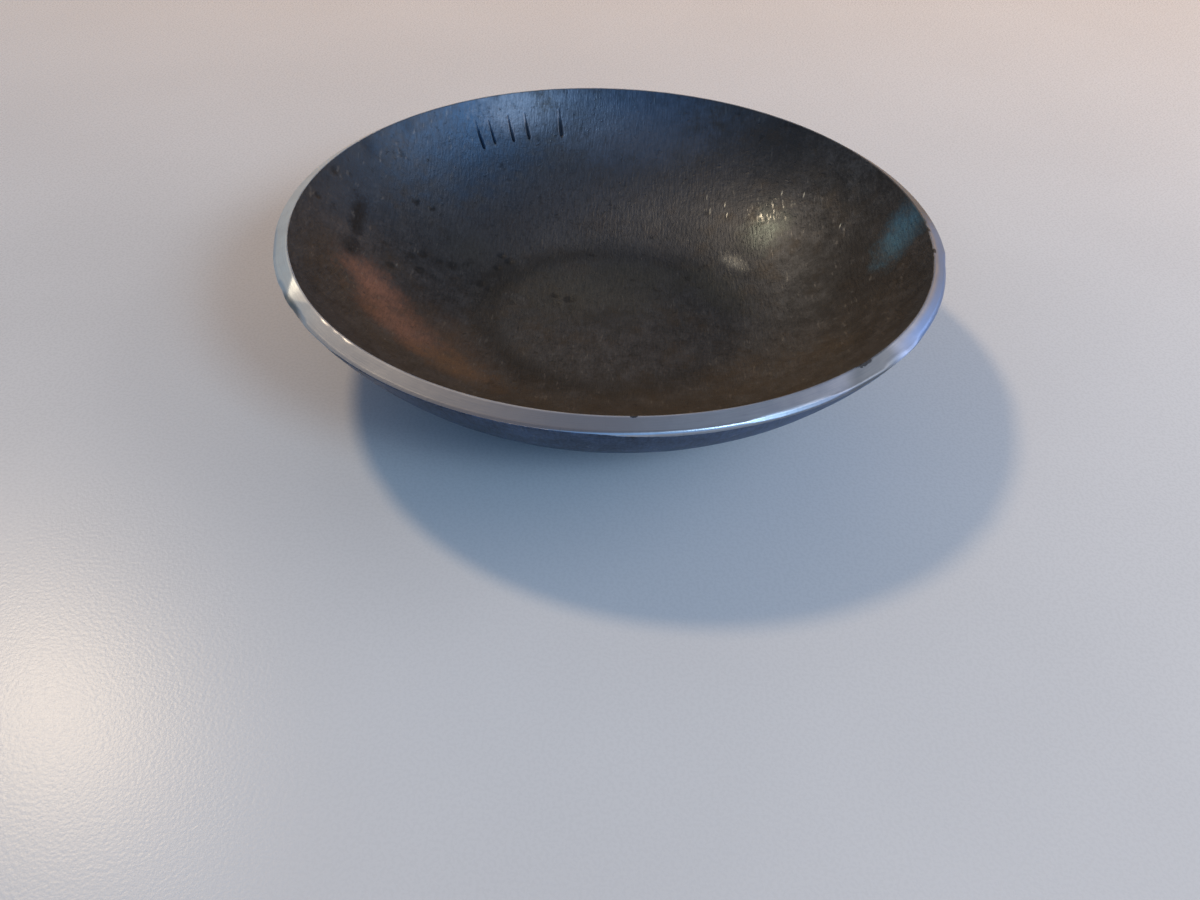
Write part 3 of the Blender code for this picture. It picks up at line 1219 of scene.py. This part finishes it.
@dataclass(frozen=True)
class Facet:
    """A facet that the file or the wheel left on a corner of the rim.

    Its middle and its half length are given as azimuths. The lean turns its face from the ground face, out
    over the lip or, below 0, in over the inner corner. All three are in degrees. The bite is taken off the
    corner, and the ends are the share of the half length in which it runs out.
    """

    azimuth: float
    reach: float
    lean: float
    bite: float
    ends: float = 1.0

    def depth(self, azimuth: np.ndarray) -> np.ndarray:
        """How deep the facet bites at these azimuths."""
        turn = np.abs((azimuth - self.azimuth + 180.0) % 360.0 - 180.0)
        return self.bite * soft_step(1.0 - turn / self.reach, 0.0, self.ends)

    def cut(
        self,
        along: np.ndarray,
        outwards: np.ndarray,
        azimuth: np.ndarray,
    ) -> tuple[np.ndarray, np.ndarray]:
        """Takes off what stands proud of the facet.

        Args:
            along: How far each point is along the wall from the corner.
            outwards: How far it is out of the wall from the corner.
            azimuth: Its azimuth in degrees.

        Returns:
            How far each point moves along the wall and out of it.
        """
        depth = self.depth(azimuth)
        up, out = math.cos(math.radians(self.lean)), math.sin(math.radians(self.lean))
        proud = np.where(depth > 0.0, np.maximum(along * up + outwards * out + depth, 0.0), 0.0)
        return -proud * up, -proud * out


@dataclass(frozen=True)
class GroundRim:
    """The rim: a ground face square to the wall and an outer lip, with facets where a file has been."""

    shape: PlateShape
    lathe: Lathe
    steel: GroundSteel
    columns: int = 960
    inner_rows: int = 3
    arris_rows: int = 4
    face_rows: int = 10
    lip_rows: int = 12
    outer_rows: int = 5
    seam_rows: int = 3
    arris: float = 0.16 * MM
    ripple_depth: float = 0.03 * MM
    lip_keen: float = 0.30
    lip_margin: float = 1.02
    round_from: Pair = (256.0, 278.0)
    keen_from: Pair = (312.0, 320.0)
    facets: tuple[Facet, ...] = (
        Facet(192.5, 9.5, 40.0, 0.22 * MM),
        Facet(206.8, 4.1, 36.0, 0.32 * MM),
        Facet(214.4, 4.4, 36.0, 0.64 * MM),
        Facet(318.5, 5.0, 24.0, 0.40 * MM),
        Facet(339.5, 16.5, 30.0, 0.46 * MM, 0.35),
        Facet(298.0, 16.0, 24.0, 0.34 * MM, 0.8),
        Facet(209.8, 5.6, -9.0, 0.42 * MM),
        Facet(211.0, 1.8, -26.0, 0.16 * MM),
        Facet(220.5, 2.4, -26.0, 0.17 * MM),
        Facet(223.8, 1.6, -26.0, 0.12 * MM),
        Facet(227.0, 2.4, -26.0, 0.15 * MM),
    )

    def section(self) -> list[tuple[Vector, float]]:
        """Draws the section, from the inner side over the face and the lip to the seam, and closed.

        Returns:
            Each point, with its share of the relief.
        """
        shape = self.shape
        inner_edge = shape.point(shape.inner_arc, shape.rim_slope)
        seat_in = shape.point(shape.inner_arc, shape.below_rim(shape.inner_arc, shape.band_inside))
        seat_out = shape.point(shape.outer_arc, shape.below_rim(shape.outer_arc, shape.band_outside))
        corner = inner_edge - self.arris * shape.along + self.arris * shape.outwards
        rounded = shape.bend(corner, self.arris, -math.pi / 2.0, self.arris_rows)
        lip = shape.bend(shape.lip_centre, shape.lip_radius, 0.0, self.lip_rows)
        face = [rounded[-1].lerp(lip[0], row / self.face_rows) for row in range(1, self.face_rows)]
        inner_side = [seat_in.lerp(rounded[0], row / self.inner_rows) for row in range(self.inner_rows)]
        steps = range(1, self.outer_rows + 1)
        outer_side = [lip[-1].lerp(seat_out, row / self.outer_rows) for row in steps]
        seam = [seat_out.lerp(seat_in, row / self.seam_rows) for row in range(1, self.seam_rows + 1)]
        ground = [(point, 1.0) for point in rounded + face + lip]
        fixed = [(point, 0.0) for point in inner_side]
        return fixed + ground + [(point, 0.0) for point in outer_side + seam]

    def corner_places(self, spots: np.ndarray) -> tuple[np.ndarray, np.ndarray, np.ndarray]:
        """Where points lie from the rim's outer corner.

        Args:
            spots: The places of the rim's points.

        Returns:
            How far along the wall and how far out of it each point is, and its azimuth, 0 to 360 degrees.
        """
        shape = self.shape
        metal = MetalMap(shape, spots)
        out, up = metal.radius - shape.rim_radius, spots[:, 2] - shape.rim_height
        along = out * shape.along.x + up * shape.along.y
        outwards = out * shape.outwards.x + up * shape.outwards.y
        return along, outwards, np.degrees(metal.azimuth) % 360.0

    def move(self, spots: np.ndarray, along: np.ndarray, outwards: np.ndarray) -> np.ndarray:
        """Shifts points in the rim's section.

        Args:
            spots: The places of the rim's points.
            along: How far each point goes along the wall.
            outwards: How far it goes out of the wall.

        Returns:
            The new places.
        """
        shape = self.shape
        metal = MetalMap(shape, spots)
        out = along * shape.along.x + outwards * shape.outwards.x
        up = along * shape.along.y + outwards * shape.outwards.y
        return spots + np.stack((out * np.cos(metal.azimuth), out * np.sin(metal.azimuth), up), axis=1)

    def keen_lip(self, spots: np.ndarray) -> np.ndarray:
        """Draws the round of the lip in to a keener edge, but for the front, where it stays round.

        Args:
            spots: The places of the rim's points.

        Returns:
            The places with the lip drawn in.
        """
        along, outwards, azimuth = self.corner_places(spots)
        keen_again = soft_step(azimuth, *self.keen_from)
        keen = 1.0 - soft_step(azimuth, *self.round_from) * (1.0 - keen_again)
        reach = self.shape.lip_radius * self.lip_margin
        on_lip = (along > -reach) & (outwards > -reach)
        draw = np.where(on_lip, keen * (self.lip_keen - 1.0), 0.0)
        return self.move(spots, along * draw, outwards * draw)

    def file(self, spots: np.ndarray) -> np.ndarray:
        """Shapes the lip and takes off what stands proud of each facet.

        Args:
            spots: The places of the rim's points.

        Returns:
            The places after filing.
        """
        filed = self.keen_lip(spots)
        for facet in self.facets:
            along, outwards, azimuth = self.corner_places(filed)
            if facet.lean < 0.0:
                outwards = outwards + self.shape.plate
            filed = self.move(filed, *facet.cut(along, outwards, azimuth))
        return filed

    def build(self) -> bpy.types.Object:
        """Makes the rim and puts it in the solid's place.

        Returns:
            The finished piece.
        """
        depths = (0.0, self.ripple_depth)
        rim = self.lathe.turn("rim", self.section(), self.columns, depths, self.steel.material())
        write_spots(rim.data, self.file(read_spots(rim.data)))
        keep_corners(rim.data)
        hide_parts("ground_rim")
        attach(rim, "root")
        return rim


class LampShape(Enum):
    """The outline of a lamp's face."""

    DISC = "DISK"
    PANEL = "RECTANGLE"


@dataclass(frozen=True)
class Lamp:
    """A soft studio lamp that faces the bowl."""

    name: str
    shape: LampShape
    azimuth: float
    height: float
    distance: float
    size: Pair
    watts: float
    tone: Tone

    def build(self) -> bpy.types.Object:
        """Hangs the lamp, its direction given in degrees as seen from the bowl.

        Returns:
            The lamp.
        """
        light = bpy.data.lights.new(self.name, "AREA")
        light.shape = self.shape.value
        light.size, light.size_y = self.size
        light.energy = self.watts
        light.color = self.tone
        lamp = put_in_scene(self.name, light)
        turn, lift = math.radians(self.azimuth), math.radians(self.height)
        towards = Vector((math.cos(lift) * math.cos(turn), math.cos(lift) * math.sin(turn), math.sin(lift)))
        lamp.location = towards * self.distance
        lamp.rotation_euler = towards.to_track_quat("Z", "Y").to_euler()
        return lamp


@dataclass(frozen=True)
class Studio:
    """The room's own soft light and the lamps in it."""

    overhead: Tone = (0.115, 0.118, 0.155)
    plain: Tone = (0.36, 0.42, 0.48)
    window: Tone = (0.27, 0.62, 1.20)
    lamplight: Tone = (2.00, 1.08, 0.40)
    lamplight_azimuth: float = math.radians(80.0)
    lamplight_spread: Pair = (0.45, 0.97)
    lamplight_rise: Pair = (0.05, 0.24)
    lamplight_fall: Pair = (0.55, 0.26)
    window_azimuth: float = math.radians(-70.0)
    window_spread: Pair = (-0.30, 0.95)
    overhead_rise: Pair = (0.42, 0.88)
    lamps: tuple[Lamp, ...] = (
        Lamp("key", LampShape.DISC, 136.0, 49.0, 3.0, (0.36, 0.36), 36.6, (1.0, 0.78, 0.53)),
        Lamp("window_panel", LampShape.PANEL, -45.0, 36.0, 1.2, (0.35, 0.35), 5.4, (0.54, 0.77, 1.0)),
        Lamp("right_panel", LampShape.PANEL, 2.0, 26.0, 0.6, (0.45, 0.35), 1.3, (1.0, 0.97, 1.0)),
    )

    @staticmethod
    def towards(way: Wire, azimuth: float) -> Wire:
        """How much a direction points towards an azimuth."""
        return way.part("X") * math.cos(azimuth) + way.part("Y") * math.sin(azimuth)

    def build(self) -> None:
        """Lights the room."""
        world = bpy.data.worlds.new("studio")
        world.use_nodes = True
        bpy.context.scene.world = world
        board = Board(world.node_tree)
        way = board.add("ShaderNodeTexCoord", None, None, "Generated")
        height = way.part("Z")
        window = self.towards(way, self.window_azimuth).ease(*self.window_spread)
        low_glow = self.towards(way, self.lamplight_azimuth).ease(*self.lamplight_spread)
        low_glow = low_glow * height.ease(*self.lamplight_rise) * height.ease(*self.lamplight_fall)
        wall = window.blend(self.plain, self.window)
        wall = low_glow.blend(wall, self.lamplight)
        glow = height.ease(*self.overhead_rise).blend(wall, self.overhead)
        board.feed(world.node_tree.nodes["Background"].inputs["Color"], glow)
        for lamp in self.lamps:
            lamp.build()


@dataclass(frozen=True)
class PhotoCamera:
    """The camera where the photograph was taken from."""

    place: Spot = (0.0, -0.2002, 0.1380)
    ahead: Spot = (-0.0017, 0.7517, -0.6595)
    above: Spot = (-0.0438, 0.6588, 0.7510)
    lens: float = 31.5
    film: float = 36.0
    nearest: float = 10.0 * MM

    def build(self) -> bpy.types.Object:
        """Sets the camera up.

        Returns:
            The scene's camera.
        """
        data = bpy.data.cameras.new("photo_camera")
        data.lens = self.lens
        data.sensor_width = self.film
        data.sensor_fit = "HORIZONTAL"
        data.clip_start = self.nearest
        camera = put_in_scene("photo_camera", data)
        back = -Vector(self.ahead).normalized()
        right = Vector(self.above).cross(back).normalized()
        up = back.cross(right)
        turn = Matrix((right, up, back)).transposed().to_4x4()
        camera.matrix_world = Matrix.Translation(self.place) @ turn
        bpy.context.scene.camera = camera
        return camera


def report(piece: bpy.types.Object) -> None:
    """Logs a piece's name and how many triangles it has."""
    triangles = sum(len(face.vertices) - 2 for face in piece.data.polygons)
    LOG.info("%s: %d triangles", piece.name, triangles)


def main() -> None:
    """Builds the bowl, its table, the light and the camera."""
    logging.basicConfig(level=logging.INFO, format="%(name)s %(message)s")
    bpy.context.scene.view_settings.view_transform = "Standard"
    PhotoCamera().build()
    Studio().build()
    report(TableTop().build())
    shape, lathe = PlateShape(), Lathe()
    skin = ForgeSkin(shape)
    report(ForgedDish(shape, lathe, skin).build())
    report(GroundRim(shape, lathe, GroundSteel(shape, skin)).build())


if __name__ == "__main__":
    main()
